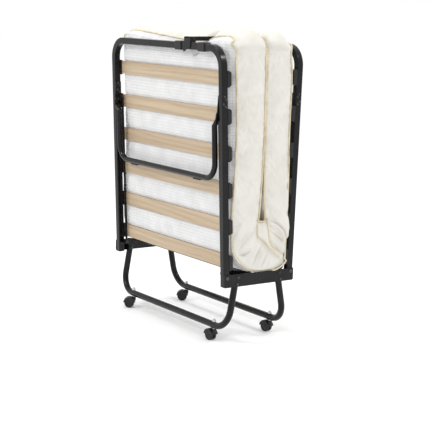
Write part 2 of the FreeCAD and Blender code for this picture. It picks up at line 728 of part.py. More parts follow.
def castor_legs():
    for half in ("front", "rear"):
        name = f"Stand_{half}"

        def section(sketch):
            draw_circle(sketch, "0", "0", "stand_radius")
            draw_circle(sketch, "0", "0", "stand_radius - leg_wall")

        def path(sketch):
            draw_arch(sketch, f"{OUTER} + plate_gap - stand_radius - 0.05", "stand_height", "0",
                      "stand_bend")

        body = pipe(name, (f"{OUTER} + plate_gap - stand_radius - 0.05", "0", "stand_height"),
                    section, path)
        way = -1 if half == "front" else 1
        body.Placement = FreeCAD.Placement(
            V(0, way * size("stand_bar_out"), size("stand_bar_up")),
            FreeCAD.Rotation(V(1, 0, 0), way * size("stand_splay")))
        mark = "-" if half == "front" else ""
        tools = [cylinder(f"{name}_stem{i}", "stem_radius + run_gap", "60",
                          (f"{sign}stem_side", f"{mark}stand_bar_out", "stand_bar_up - 30"), "z")
                 for i, sign in enumerate(("-", ""))]
        bolts = bolt_points()[:2] if half == "front" else bolt_points()[2:]
        tools += [cylinder(f"{name}_bolt{i}", "small_pin + run_gap", "bed_width + 10",
                           ("-bed_width / 2 - 5", y, z)) for i, (y, z) in enumerate(bolts)]
        keep(f"castor_leg_{half}", cut(name, body, *tools))


def leg_bolts():
    bolts = []
    face = f"{OUTER} + plate_gap + plate_thickness"
    inner = f"{OUTER} + plate_gap - 2 * stand_radius - 4.2"
    for number, (y, z) in enumerate(bolt_points(), 1):
        name = f"Bolt_{number}"
        shank = cylinder(f"{name}_shank", "small_pin", f"{face} - ({inner})", (inner, y, z))
        head = cylinder(f"{name}_head", "small_pin + 2.2", "1.6", (face, y, z))
        nut = doc.addObject("Part::Prism", f"{name}_nut")
        nut.Polygon = 6
        nut.Placement.Rotation = FreeCAD.Rotation(V(0, 1, 0), 90)
        bind(nut, Circumradius="small_pin * 1.9", Height="4", Placement__Base__x=inner,
             Placement__Base__y=y, Placement__Base__z=z)
        bolts.append(fuse(f"{name}_whole", shank, head, nut))
    keep("leg_bolts", both_sides("Bolts", *bolts))


# ---------------------------------------------------------------- castors

# name, side of the bed, half, and the way the wheels trail at rest, degrees from +X
CASTORS = [
    ("front_left", "-", "-", 236),
    ("front_right", "", "-", 190),
    ("rear_left", "-", "", 236),
    ("rear_right", "", "", 190),
]


def castor_stems():
    stems = []
    for name, side, half, _ in CASTORS:
        x, y = f"{side}stem_side", f"{half}stand_bar_out"
        stem = cylinder(f"Stem_{name}", "stem_radius", "44", (x, y, "37"), "z")
        collar = cylinder(f"Collar_{name}", "stem_radius + 3", "1.5", (x, y, "45.8"), "z")
        stems.append(fuse(f"StemWhole_{name}", stem, collar))
        top = "stand_bar_up + stand_radius"
        nut = doc.addObject("Part::Prism", f"Nut_{name}")
        nut.Polygon = 6
        bind(nut, Circumradius="7.4", Height="6.5", Placement__Base__x=x, Placement__Base__y=y,
             Placement__Base__z=top)
        dome = doc.addObject("Part::Sphere", f"NutDome_{name}")
        bind(dome, Radius="6", Placement__Base__x=x, Placement__Base__y=y,
             Placement__Base__z=f"{top} + 5.5")
        bore = cylinder(f"NutBore_{name}", "stem_radius", "12", (x, y, f"{top} - 2"), "z")
        capped = fuse(f"NutWhole_{name}", nut, dome)
        stems.append(cut(f"NutCut_{name}", capped, bore))
    keep("castor_stems_and_nuts", group("Stems", *stems))


def castor_hood(name):
    """Swivel housing: a round boss on the stem, a web between the wheels and a hood over them."""
    reach = "wheel_radius + 4.5"
    cover = cylinder(f"{name}_cover", reach, "2 * wheel_outer + 2",
                     ("trail", "-wheel_outer - 1", "wheel_radius"), "y")
    below = box(f"{name}_below", "90", "60", "40",
                ("trail - 45", "-30", "wheel_radius - 40 + 3"))
    hood = cut(f"{name}_hood", cover, below)
    rounded = fillet(f"{name}_soft", hood, 2, lambda edge: isinstance(edge.Curve, Part.Circle))
    boss = cylinder(f"{name}_boss", "8.5", "15.5", ("0", "0", "30"), "z")
    web = cylinder(f"{name}_web", "9", "2 * wheel_inner - 0.6",
                   ("trail", "0.3 - wheel_inner", "wheel_radius"), "y")
    arm = box(f"{name}_arm", "16", "2 * wheel_inner - 0.6", "26",
              ("trail - 8", "0.3 - wheel_inner", "wheel_radius - 6"))
    wells = [cylinder(f"{name}_well{i}", "wheel_radius + 1", "wheel_outer - wheel_inner + 0.6",
                      ("trail", start, "wheel_radius"), "y")
             for i, start in enumerate(("wheel_inner - 0.3", "-wheel_outer - 0.3"))]
    solid = fuse(f"{name}_solid", rounded, boss, web, arm)
    bore = cylinder(f"{name}_bore", "stem_radius + run_gap", "12", ("0", "0", "36.5"), "z")
    shaft = cylinder(f"{name}_shaft", "axle_radius", "60", ("trail", "-30", "wheel_radius"), "y")
    return cut(f"{name}_body", solid, *wells, bore, shaft)


def castor_wheel(name):
    """One moulded wheel: a rounded tread, a dished outer face and a bore."""
    body = new_body(name)
    sketch = sketch_on(body, "XY_Plane", f"{name}_section")
    draw_polygon(sketch, [
        ("axle_radius + run_gap", "wheel_inner"), ("wheel_radius - 2.5", "wheel_inner"),
        ("wheel_radius", "wheel_inner + 2.5"), ("wheel_radius", "wheel_outer - 3.5"),
        ("wheel_radius - 3.5", "wheel_outer - 0.6"), ("wheel_radius - 6", "wheel_outer - 0.6"),
        ("wheel_radius - 7.5", "wheel_outer - 2.2"), ("axle_radius + 4", "wheel_outer - 2.2"),
        ("axle_radius + 3", "wheel_outer - 0.8"), ("0", "wheel_outer - 0.8"),
        ("0", "wheel_outer - 2.3"), ("axle_radius + run_gap", "wheel_outer - 2.3"),
    ])
    turned = body.newObject("PartDesign::Revolution", f"{name}_turned")
    turned.Profile = sketch
    turned.ReferenceAxis = (sketch, ["V_Axis"])
    turned.Angle = 360
    doc.recompute()
    edges = [i for i, e in enumerate(turned.Shape.Edges, 1)
             if isinstance(e.Curve, Part.Circle) and abs(e.Curve.Radius - size("wheel_radius")) < 0.01]
    soft = body.newObject("PartDesign::Fillet", f"{name}_soft")
    soft.Base = (turned, [f"Edge{i}" for i in edges])
    soft.Radius = 1.8
    return body


def castors():
    for name, side, half, heading in CASTORS:
        place = FreeCAD.Placement(
            V((-1 if side else 1) * size("stem_side"), (-1 if half else 1) * size("stand_bar_out"), 0),
            FreeCAD.Rotation(V(0, 0, 1), heading))
        hood = castor_hood(f"Castor_{name}")
        axle = cylinder(f"Axle_{name}", "axle_radius", "2 * wheel_outer - 5.2",
                        ("trail", "2.6 - wheel_outer", "wheel_radius"), "y")
        near = castor_wheel(f"Wheel_{name}")
        near.setExpression("Placement.Base.x", formula("trail"))
        near.setExpression("Placement.Base.z", formula("wheel_radius"))
        far = doc.addObject("Part::Mirroring", f"WheelFar_{name}")
        far.Source = near
        far.Normal = V(0, 1, 0)
        wheels = group(f"Wheels_{name}", near, far)
        axle_holder = group(f"AxleHolder_{name}", axle)
        for label, piece in ((f"castor_hood_{name}", hood), (f"castor_axle_{name}", axle_holder),
                             (f"castor_wheels_{name}", wheels)):
            piece.Placement = place
            keep(label, piece)


# ---------------------------------------------------------------- latch

def latch_collars():
    collars = []
    for number, middle in enumerate(("latch_middle - 66", "latch_middle + 91")):
        name = f"LatchCollar_{number}"
        side = "tube_size + 8"
        block = box(name, "44", side, side,
                    (f"{middle} - 22", f"-({side}) / 2", f"half_length - ({side}) / 2"))
        rounded = fillet(f"{name}_round", block, 4, lambda edge: True)
        hole = box(f"{name}_hole", "50", "tube_size + 0.1", "tube_size + 0.1",
                   (f"{middle} - 25", "-tube_size / 2 - 0.05", "half_length - tube_size / 2 - 0.05"))
        collars.append(cut(f"{name}_cut", rounded, hole))
    half_node("latch_collars", group("LatchCollars", *collars), "front")


def latch_bracket():
    """A folded steel bracket on the front of the bar, with two ears for the pivot."""
    low, high, wall = "latch_middle - 21", "latch_middle + 21", "2.5"
    front = "-tube_size / 2 - 2.8"
    body = new_body("LatchFace")
    sketch = sketch_on(body, "XZ_Plane", "LatchFace_outline", ("0", "0", f"-({front}) - {wall} / 2"))
    draw_polygon(sketch, [
        (f"{low} - 5", "half_length - 22"), (f"{low} + 12", "half_length - 14"),
        (f"{high} - 9", "half_length - 8"), (high, "half_length + 2"), (high, "latch_up + 3"),
        (low, "latch_up + 3"), (low, "half_length - 6"), (f"{low} - 9", "half_length - 8"),
    ])
    pad(body, sketch, wall, symmetric=True, name="LatchFace_pad")
    base = "half_length + tube_size / 2 + 0.2"
    ears = [box(f"LatchEar_{i}", wall, "24", f"latch_up + 7 - ({base})", (x, front, base))
            for i, x in enumerate((low, f"{high} - {wall}"))]
    bracket = fuse("LatchBracketWhole", body, *ears)
    rounded = fillet("LatchBracketRound", bracket, 4, lambda edge: runs_along(edge, "x")
                     and edge.Length < 3 and edge.BoundBox.ZMax > size("latch_up") + 6)
    hole = cylinder("LatchHole", "small_pin", "100", (f"{low} - 10", "0", "latch_up"))
    half_node("latch_bracket", cut("LatchBracket", rounded, hole), "front")


def latch_pin():
    low = "latch_middle - 21"
    shank = cylinder("LatchShank", "small_pin", "46", (f"{low} - 2", "0", "latch_up"))
    head = cylinder("LatchHead", "small_pin + 2", "2", (f"{low} - 2", "0", "latch_up"))
    half_node("latch_pin", fuse("LatchPin", shank, head), "front")


def latch_arm():
    """A channel arm over the mattress, with a hook behind the rear half's bar."""
    lean = math.radians(size("lean_angle"))
    pivot_y = -size("hinge_out") - size("latch_up") * math.sin(lean)
    pivot_z = size("hinge_up") + size("latch_up") * math.cos(lean)
    far_y = size("hinge_out") + size("half_length") * math.sin(lean) + size("tube_size") / 2 + 3.4
    tail, lip, wall = 10, 4, size("latch_wall")
    bottom, top = pivot_z - 8.5, pivot_z - 8.5 + size("latch_height")
    low = size("latch_middle") - size("latch_width") / 2
    width = size("latch_width")

    def block(x, y, z, length, depth, height):
        return Part.makeBox(length, depth, height, V(x, y, z))

    run = far_y + lip - (pivot_y - tail)
    channel = block(low, pivot_y - tail, bottom, width, run, top - bottom)
    hollow = block(low + wall, pivot_y - tail - 1, bottom - 1, width - 2 * wall,
                   far_y - pivot_y + tail + 1, top - bottom - wall + 1)
    hook = block(low, far_y, bottom - 15, width, lip, 16)
    shape = channel.cut(hollow).fuse(hook)
    bore = Part.makeCylinder(size("small_pin") + size("run_gap"), width + 10,
                             V(low - 5, pivot_y, pivot_z), V(1, 0, 0))
    arm = doc.addObject("Part::Feature", "LatchArm")
    arm.Shape = shape.cut(bore).removeSplitter()
    keep("latch_arm", arm)


# ---------------------------------------------------------------- mattress

def slat_side(way, z):
    """Where the mattress may start at a height, clear of a leaning half's slats, as a formula."""
    return f"{way}(hinge_out + tan(lean_angle) * ({z} - hinge_up) - mattress_face)"


def mattress_layer(half):
    way, name = ("-", "MattressFront") if half == "front" else ("", "MattressRear")
    crease = "crease_out - layer_gap" if half == "front" else "crease_out + layer_gap"
    base = "mattress_split + layer_gap"
    body = new_body(name)
    sketch = sketch_on(body, "YZ_Plane", f"{name}_outline")
    draw_polygon(sketch, [(slat_side(way, base), base), (crease, base), (crease, "mattress_top"),
                          (slat_side(way, "mattress_top"), "mattress_top")])
    block = pad(body, sketch, "mattress_width", symmetric=True, name=f"{name}_pad")
    doc.recompute()
    top = [i for i, edge in enumerate(block.Shape.Edges, 1)
           if runs_along(edge, "x") and edge.BoundBox.ZMin > size("mattress_top") - 1]
    soft = body.newObject("PartDesign::Fillet", f"{name}_soft")
    soft.Base = (block, [f"Edge{i}" for i in top])
    soft.Radius = 30
    doc.recompute()
    groove = sketch_on(body, "XZ_Plane", f"{name}_groove")
    low = "latch_middle - latch_width / 2 - groove_side"
    high = "latch_middle + latch_width / 2 + groove_side"
    draw_polygon(groove, [(low, "groove_bottom"), (high, "groove_bottom"),
                          (high, "mattress_top + 5"), (low, "mattress_top + 5")])
    pocket = body.newObject("PartDesign::Pocket", f"{name}_pocket")
    pocket.Profile = groove
    pocket.SideType = "Symmetric"
    pocket.Type = "ThroughAll"
    keep(f"mattress_{half}", body)


def mattress_bend():
    """The folded end of the mattress, resting on the cross tubes."""
    top = "mattress_split - layer_gap"
    body = new_body("MattressBend")
    sketch = sketch_on(body, "YZ_Plane", "MattressBend_outline")
    edge = "hinge_out + tan(lean_angle) * (mattress_split - hinge_up) - mattress_face"
    draw_polygon(sketch, [
        (f"-({edge})", top), (f"-({edge}) + 14", f"{top} - 36"), ("-70", "mattress_bottom + 14"),
        ("-30", "mattress_bottom"), ("50", "mattress_bottom"), ("84", "mattress_bottom + 14"),
        (f"{edge} - 10", f"{top} - 36"), (edge, top),
    ])
    pad(body, sketch, "mattress_width", symmetric=True, name="MattressBend_pad")
    keep("mattress_bend", body)


# ---------------------------------------------------------------- the whole bed

def build():
    side_plates()
    cross_tubes()
    link_lugs()
    pivot_pins()
    castor_legs()
    leg_bolts()
    castor_stems()
    castors()
    for half in ("front", "rear"):
        half_frame(half)
        end_caps(half)
        slats(half)
        slat_holders(half)
        leg_brackets(half)
        bracket_rivets(half)
        leg_pivot_pins(half)
        swing_leg(half)
        leg_feet(half)
        link_pins(half)
        link_bars(half)
        mattress_layer(half)
    mattress_bend()
    latch_collars()
    latch_bracket()
    latch_pin()
    latch_arm()
    doc.recompute()


def check():
    """Stop if any object failed or any sub-part has no valid shape."""
    for thing in doc.Objects:
        if "Invalid" in thing.State or "Error" in thing.State:
            raise ValueError(f"{thing.Name} ({thing.Label}) failed: {thing.State}")
    for label, thing in nodes.items():
        if thing.Shape.isNull() or not thing.Shape.isValid() or not thing.Shape.Solids:
            raise ValueError(f"{label} has no valid shape")


def write():
    os.makedirs("parts", exist_ok=True)
    for label, thing in nodes.items():
        thing.Shape.exportStep(os.path.join("parts", f"{label}.step"))
        solids = thing.Shape.Solids
        print(f"{label}: {len(solids)} solids, {sum(s.Volume for s in solids) / 1000:.1f} cm3")
    print(len(nodes), "sub-parts")


build()
check()
write()
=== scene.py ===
import math

import bpy
import numpy as np
from mathutils import Matrix, Quaternion, Vector


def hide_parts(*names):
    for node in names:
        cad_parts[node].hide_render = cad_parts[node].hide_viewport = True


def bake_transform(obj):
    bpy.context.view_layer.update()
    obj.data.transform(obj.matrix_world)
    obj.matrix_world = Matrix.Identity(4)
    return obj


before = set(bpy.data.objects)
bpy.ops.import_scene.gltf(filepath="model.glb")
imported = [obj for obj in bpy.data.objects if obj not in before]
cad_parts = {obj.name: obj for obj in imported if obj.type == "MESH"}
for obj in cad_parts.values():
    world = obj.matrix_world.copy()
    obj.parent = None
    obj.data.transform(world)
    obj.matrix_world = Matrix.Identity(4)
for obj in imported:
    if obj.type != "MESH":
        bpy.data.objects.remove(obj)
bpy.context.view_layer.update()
MM = 0.001


# ------------------------------------------------------------------ node materials

class Tree:
    """A material's node tree, with short calls to add to it."""

    def __init__(self, name):
        self.material = bpy.data.materials.new(name)
        self.material.use_nodes = True
        self.nodes = self.material.node_tree.nodes
        self.links = self.material.node_tree.links
        self.shader = self.nodes["Principled BSDF"]
        self.where = self.nodes.new("ShaderNodeTexCoord").outputs["Object"]

    def add(self, kind, inputs=None, **settings):
        node = self.nodes.new("ShaderNode" + kind)
        for key, value in settings.items():
            setattr(node, key, value)
        for key, value in (inputs or {}).items():
            self.put(node.inputs[key], value)
        return node

    def put(self, socket, value):
        if isinstance(value, bpy.types.NodeSocket):
            self.links.new(value, socket)
        else:
            socket.default_value = value

    def set(self, **values):
        for key, value in values.items():
            self.put(self.shader.inputs[key.replace("_", " ")], value)

    def stretched(self, x, y, z, source=None):
        node = self.add("Mapping", {"Vector": source or self.where, "Scale": (x, y, z)})
        return node.outputs["Vector"]

    def noise(self, scale, detail=4, source=None, roughness=0.55):
        node = self.add("TexNoise", {"Vector": source or self.where, "Scale": scale,
                                     "Detail": detail, "Roughness": roughness})
        return node.outputs["Fac"]

    def math(self, operation, a, b=0.0):
        node = self.add("Math", operation=operation)
        self.put(node.inputs[0], a)
        self.put(node.inputs[1], b)
        return node.outputs[0]

    def between(self, value, low, high, from_low=0.35, from_high=0.65):
        """A value stretched from one range onto another."""
        node = self.add("MapRange", {"Value": value, "From Min": from_low, "From Max": from_high,
                                     "To Min": low, "To Max": high})
        return node.outputs["Result"]

    def mix(self, factor, a, b):
        node = self.add("Mix", data_type="RGBA")
        self.put(node.inputs[0], factor)
        self.put(node.inputs[6], a)
        self.put(node.inputs[7], b)
        return node.outputs[2]

    def bump(self, height, strength, distance, under=None):
        node = self.add("Bump", {"Height": height, "Strength": strength, "Distance": distance})
        if under is not None:
            self.put(node.inputs["Normal"], under)
        return node.outputs["Normal"]


def grey(value, tint=(1.0, 1.0, 1.0)):
    return (value * tint[0], value * tint[1], value * tint[2], 1.0)


def moulded(name, dark, light, rough, grain=2200.0, metallic=0.0, gloss=0.35, depth=0.00012):
    """Paint or plastic: a little uneven in colour and gloss, with a fine surface grain."""
    tree = Tree(name)
    cloud = tree.noise(14.0, 5)
    speck = tree.noise(grain * 0.25, 3)
    colour = tree.mix(tree.between(cloud, 0.0, 1.0), dark, light)
    colour = tree.mix(tree.between(speck, 0.0, 0.35, 0.55, 0.75), colour, light)
    scuff = tree.noise(1.0, 6, tree.stretched(60.0, 60.0, 9.0))
    tree.set(Base_Color=colour, Metallic=metallic, Specular_IOR_Level=gloss,
             Roughness=tree.between(tree.math("MULTIPLY", scuff, tree.between(cloud, 0.8, 1.2)),
                                    rough - 0.07, rough + 0.1, 0.3, 0.75))
    low = tree.bump(tree.noise(60.0, 2), 0.12, 0.0004)
    tree.set(Normal=tree.bump(tree.noise(grain, 2), 0.35, depth, low))
    return tree.material


def brushed(name, dark, light, rough):
    """Bare steel with fine turning marks."""
    tree = Tree(name)
    marks = tree.noise(1.0, 5, tree.stretched(120.0, 120.0, 5200.0))
    stain = tree.noise(60.0, 4)
    tree.set(Base_Color=tree.mix(tree.between(stain, 0.0, 1.0), dark, light), Metallic=1.0,
             Roughness=tree.between(marks, rough - 0.08, rough + 0.14, 0.3, 0.7),
             Normal=tree.bump(marks, 0.3, 0.00008))
    return tree.material


def rubber(name):
    tree = Tree(name)
    cloud = tree.noise(40.0, 5)
    pores = tree.add("TexVoronoi", {"Vector": tree.where, "Scale": 900.0}).outputs["Distance"]
    tree.set(Base_Color=tree.mix(tree.between(cloud, 0.0, 1.0), grey(0.018), grey(0.034)),
             Roughness=tree.between(cloud, 0.66, 0.86), Specular_IOR_Level=0.3,
             Normal=tree.bump(pores, 0.4, 0.0002))
    return tree.material


def wood(name, shift):
    """A pressed birch slat: long grain on the faces, thin plies on the edges."""
    tree = Tree(name)
    moved = tree.add("Mapping", {"Vector": tree.where, "Location": (shift * 1.7, shift, shift * 3.1)})
    place = moved.outputs["Vector"]
    broad = tree.noise(1.0, 5, tree.stretched(1.3, 11.0, 34.0, place))
    fibre = tree.noise(1.0, 6, tree.stretched(9.0, 300.0, 620.0, place), 0.7)
    rings = tree.add("TexWave", {"Vector": tree.stretched(1.1, 5.0, 12.0, place), "Scale": 1.1,
                                 "Distortion": 15.0, "Detail": 3.0, "Detail Scale": 0.6},
                     bands_direction="Z").outputs["Fac"]
    pale, tan = (0.52, 0.41, 0.28, 1), (0.40, 0.295, 0.185, 1)
    ring, dark = (0.31, 0.225, 0.14, 1), (0.20, 0.13, 0.075, 1)
    colour = tree.mix(tree.between(broad, 0.0, 1.0, 0.3, 0.7), pale, tan)
    colour = tree.mix(tree.between(rings, 0.0, 0.38, 0.5, 1.0), colour, ring)
    colour = tree.mix(tree.between(fibre, 0.0, 0.5, 0.5, 0.78), colour, dark)
    flecks = tree.noise(1.0, 2, tree.stretched(70.0, 800.0, 900.0, place))
    colour = tree.mix(tree.between(flecks, 0.0, 0.5, 0.66, 0.78), colour, dark)
    plies = tree.add("TexWave", {"Vector": tree.stretched(0.0, 1.0, 0.0, place), "Scale": 105.0,
                                 "Distortion": 0.6}, bands_direction="Y").outputs["Fac"]
    facing = tree.add("SeparateXYZ", {"Vector": tree.add("TexCoord").outputs["Normal"]})
    edge = tree.between(tree.math("ABSOLUTE", facing.outputs["Z"]), 0.0, 1.0, 0.6, 0.9)
    ply_colour = tree.mix(tree.between(plies, 0.0, 1.0, 0.4, 0.6), tan, dark)
    colour = tree.mix(tree.math("MULTIPLY", edge, 0.55), colour, ply_colour)
    tree.set(Base_Color=colour, Roughness=tree.between(fibre, 0.42, 0.62),
             Coat_Weight=0.12, Coat_Roughness=0.35,
             Normal=tree.bump(fibre, 0.35, 0.00025, tree.bump(broad, 0.2, 0.0006)))
    return tree.material


def weave_coordinates(tree):
    """Where a point of the cloth lies on its flat piece, in metres."""
    return tree.add("UVMap", uv_map="cloth").outputs["UV"]


def woven(tree, uv, pitch):
    """The height of a plain weave: two crossing sets of threads."""
    flat = tree.add("SeparateXYZ", {"Vector": uv})
    turn = 2 * math.pi / pitch
    across = tree.math("SINE", tree.math("MULTIPLY", flat.outputs["X"], turn))
    along = tree.math("SINE", tree.math("MULTIPLY", flat.outputs["Y"], turn))
    return tree.math("MULTIPLY", across, along), flat


def line_grid(tree, flat, pitch, width):
    """1 on the lines of a square grid of that pitch, 0 between them."""
    lines = []
    for axis in ("X", "Y"):
        place = tree.math("FRACT", tree.math("DIVIDE", flat.outputs[axis], pitch))
        away = tree.math("ABSOLUTE", tree.math("SUBTRACT", place, 0.5))
        lines.append(tree.between(away, 1.0, 0.0, 0.0, width))
    return tree.math("MAXIMUM", lines[0], lines[1])


# Painted shade: the tan that stands in for shadow in creases, along the tuck's edges and in the
# opening between the two layers.
PAINTED_CREASE_SHADE = (0.36, 0.30, 0.22, 1)


def cloth(name, pale, shade, grid, weave, grid_depth):
    """Cotton: a fine weave, a woven grid of some pitch and depth, slight unevenness, and a painted
    shade in its creases.
    """
    tree = Tree(name)
    uv = weave_coordinates(tree)
    threads, flat = woven(tree, uv, weave)
    lines = line_grid(tree, flat, grid, 0.2)
    patches = tree.noise(16.0, 5)
    slub = tree.noise(1.0, 4, tree.stretched(900.0, 90.0, 1.0, uv))
    colour = tree.mix(tree.between(patches, 0.0, 0.5), pale, shade)
    colour = tree.mix(tree.math("MULTIPLY", lines, 0.6 if grid_depth else 0.1), colour, shade)
    colour = tree.mix(tree.between(slub, 0.0, 0.3, 0.5, 0.8), colour, shade)
    # Painted shade: the per-point weight from press_ends darkens the cloth towards a tan in its
    # creases.
    crease_shade = tree.add("Attribute", attribute_name="crease_shade").outputs["Fac"]
    colour = tree.mix(crease_shade, colour, PAINTED_CREASE_SHADE)
    soft = tree.bump(tree.noise(34.0, 4), 0.35, 0.003)
    dents = tree.bump(tree.math("SUBTRACT", 1.0, lines), 0.7, max(grid_depth, 0.0001), soft)
    tree.set(Base_Color=colour, Roughness=tree.between(slub, 0.82, 0.95), Sheen_Weight=0.25,
             Sheen_Roughness=0.5, Specular_IOR_Level=0.2,
             Normal=tree.bump(threads, 0.45, 0.00022, dents))
    return tree.material


def cord_cloth(name, pale, shade):
    """Bias-cut cotton over a cord: slanted threads round the piping."""
    tree = Tree(name)
    uv = weave_coordinates(tree)
    slant = tree.add("TexWave", {"Vector": uv, "Scale": 55.0, "Distortion": 0.5},
                     bands_direction="DIAGONAL").outputs["Fac"]
    patches = tree.noise(26.0, 4)
    colour = tree.mix(tree.between(patches, 0.0, 0.8), pale, shade)
    colour = tree.mix(tree.between(slant, 0.0, 0.35, 0.6, 1.0), colour, shade)
    tree.set(Base_Color=colour, Roughness=tree.between(patches, 0.78, 0.92), Sheen_Weight=0.2,
             Specular_IOR_Level=0.2, Normal=tree.bump(slant, 0.6, 0.0004))
    return tree.material


PAINT = moulded("frame_paint", grey(0.004, (0.98, 0.98, 1.10)), grey(0.008, (0.98, 0.98, 1.12)),
                0.18, gloss=0.24)
PLASTIC = moulded("holder_plastic", grey(0.007), grey(0.014), 0.48, grain=3400.0, depth=0.0002)
HOOD = moulded("castor_plastic", grey(0.006), grey(0.012), 0.3, grain=2600.0)
TREAD = moulded("wheel_plastic", grey(0.008), grey(0.016), 0.4, grain=1500.0, depth=0.0002)
FASTENER = moulded("dark_fasteners", grey(0.04), grey(0.08), 0.3, metallic=0.7)
BRIGHT = brushed("bright_steel", (0.42, 0.42, 0.44, 1), (0.70, 0.70, 0.72, 1), 0.3)
PADS = rubber("foot_rubber")
TICKING = cloth("ticking", (0.78, 0.78, 0.775, 1), (0.58, 0.58, 0.59, 1),
                grid=0.0115, weave=0.0011, grid_depth=0.0016)
BOXING = cloth("boxing", (0.70, 0.685, 0.64, 1), (0.60, 0.575, 0.52, 1),
               grid=0.003, weave=0.0009, grid_depth=0.0)
PIPING = cord_cloth("piping", (0.70, 0.63, 0.47, 1), (0.47, 0.39, 0.25, 1))


def material_for(node):
    if "_slat_" in node and "holders" not in node:
        half, number = node.split("_")[0], int(node[-1])
        shift = number * 0.37 + (2.1 if half == "rear" else 0.0)
        return wood(f"wood_{half}_{number}", shift)
    for words, choice in (
            (("slat_holders", "end_caps", "latch_collars"), PLASTIC),
            (("castor_wheels",), TREAD),
            (("castor_hood",), HOOD),
            (("castor_axle", "castor_stems"), BRIGHT),
            (("rivets", "pins", "bolts", "latch_pin"), FASTENER),
            (("leg_feet",), PADS)):
        if any(word in node for word in words):
            return choice
    return PAINT


for name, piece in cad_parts.items():
    if piece.type == "MESH" and not name.startswith("mattress"):
        piece.data.materials.clear()
        piece.data.materials.append(material_for(name))


# ------------------------------------------------------------------ the mattress

# Lengths in this section are in mm. These first ones repeat part.py.
LEAN = math.radians(1.84)
HINGE_Y, HINGE_Z = 142.6, 257.0
SLAT_UP = [722 - 133.5 * i for i in range(6)]
LATCH_X = 176
CREASE_Y = 18

HALF_WIDTH = 393.0          # seams from the middle of the bed
AT_SIDE = HALF_WIDTH - 2    # points further out than this are on an end panel
PANEL_CORNER = 52.0         # corner radius of a panel of ticking
BAND_WIDTH = 145.0          # the boxing, from seam to seam
SIM_FRAMES = 14
CORD_RADIUS, CORD_LIFT = 3.5, 1.8
TUCK_CORD_RADIUS, TUCK_CORD_LIFT = 2.7, 1.2

# The two seams of the cover, side on, from the front half's top round the bend to the rear half's
# top: (Y, Z). The front layer turns in to the middle of the bend, and turns out to the rear layer.
OUTER = {
    "front": [(-108, 1126), (-114, 1085), (-116, 1039), (-111, 960), (-107, 860), (-106, 760),
              (-108, 680), (-111, 600), (-116, 535), (-121, 480), (-122, 440)],
    "turn_in": [(-122, 440), (-121, 396), (-114, 355), (-99, 327), (-76, 302), (-45, 281), (-10, 270),
                (22, 267)],
    "turn_out": [(22, 267), (60, 267), (92, 276), (116, 292), (131, 315), (139, 345), (141, 385),
                 (138, 440)],
    "rear": [(138, 440), (134, 520), (129, 610), (126, 700), (126, 780), (129, 870), (131, 960),
             (129, 1030), (122, 1082), (112, 1118)],
}
INNER = {
    "front": [(13, 1124), (14, 1040), (15, 940), (14, 820), (12, 720), (8, 630), (4, 560), (0, 500),
              (-5, 462)],
    "turn_in": [(-5, 462), (-1, 456), (6, 453), (12, 452)],
    "turn_out": [(12, 452), (19, 452), (24, 455), (28, 460)],
    "rear": [(28, 460), (24, 500), (21, 560), (20, 640), (21, 740), (22, 840), (23, 940), (23, 1040),
             (23, 1124)],
}
# The cover's grid: rows along a seam in each stretch, columns across the bed, rows of boxing.
ROWS = {"front": 80, "turn_in": 26, "turn_out": 26, "rear": 80}
COLUMNS = 92
BAND = 24
TICKED, BOXED = 0, 1


def smooth_line(points, count):
    """count + 1 points, evenly spaced, on a smooth line through some points."""
    p = np.array([points[0]] + list(points) + [points[-1]], float)
    fine = []
    for a, b, c, d in zip(p[:-3], p[1:-2], p[2:-1], p[3:]):
        t = np.linspace(0, 1, 40, endpoint=False)[:, None]
        fine.append(0.5 * (2 * b + (c - a) * t + (2 * a - 5 * b + 4 * c - d) * t ** 2
                           + (3 * b - a - 3 * c + d) * t ** 3))
    fine = np.vstack(fine + [p[-1:]])
    run = np.concatenate([[0], np.cumsum(np.linalg.norm(np.diff(fine, axis=0), axis=1))])
    at = np.linspace(0, run[-1], count + 1)
    return np.column_stack([np.interp(at, run, fine[:, i]) for i in (0, 1)])


def seam_line(parts):
    lines = [smooth_line(parts[key], ROWS[key]) for key in ROWS]
    return np.vstack([line[:-1] for line in lines] + [lines[-1][-1:]])


def step(value, low, high):
    t = np.clip((value - low) / (high - low), 0, 1)
    return t * t * (3 - 2 * t)


def ramp_noise(seed, points, scale):
    """Smooth, repeatable noise from -1 to 1 at some points."""
    rng = np.random.default_rng(seed)
    total = np.zeros(len(points))
    for octave in range(4):
        for _ in range(7):
            way = rng.normal(size=3)
            way /= np.linalg.norm(way)
            wave = 2 ** octave / scale * rng.uniform(0.6, 1.4)
            swing = np.sin(points @ way * wave * 2 * math.pi + rng.uniform(0, 6.28))
            total += swing / (2 ** octave * 7)
    return total * 1.6


def rounded(grid_y, grid_x):
    """Moves the corner points of a panel inwards so that its outline has round corners."""
    corner = PANEL_CORNER
    y, x = grid_y.copy(), grid_x.copy()
    top = y[-1, 0]
    for sign_y, from_y in ((-1, 0.0), (1, top)):
        depth_y = corner - (y - from_y if sign_y < 0 else from_y - y)
        depth_x = corner - (HALF_WIDTH - np.abs(x))
        p, q = np.clip(depth_y / corner, 0, 1), np.clip(depth_x / corner, 0, 1)
        both = (p > 0) & (q > 0)
        far = np.maximum(p, q)
        turn = np.where(p >= q, q / np.maximum(p, 1e-9), 2 - p / np.maximum(q, 1e-9))
        angle = turn * math.pi / 4
        new_p, new_q = far * np.cos(angle), far * np.sin(angle)
        y = np.where(both, from_y - sign_y * (corner - new_p * corner), y)
        x = np.where(both, np.sign(x) * (HALF_WIDTH - corner + new_q * corner), x)
    return y, x


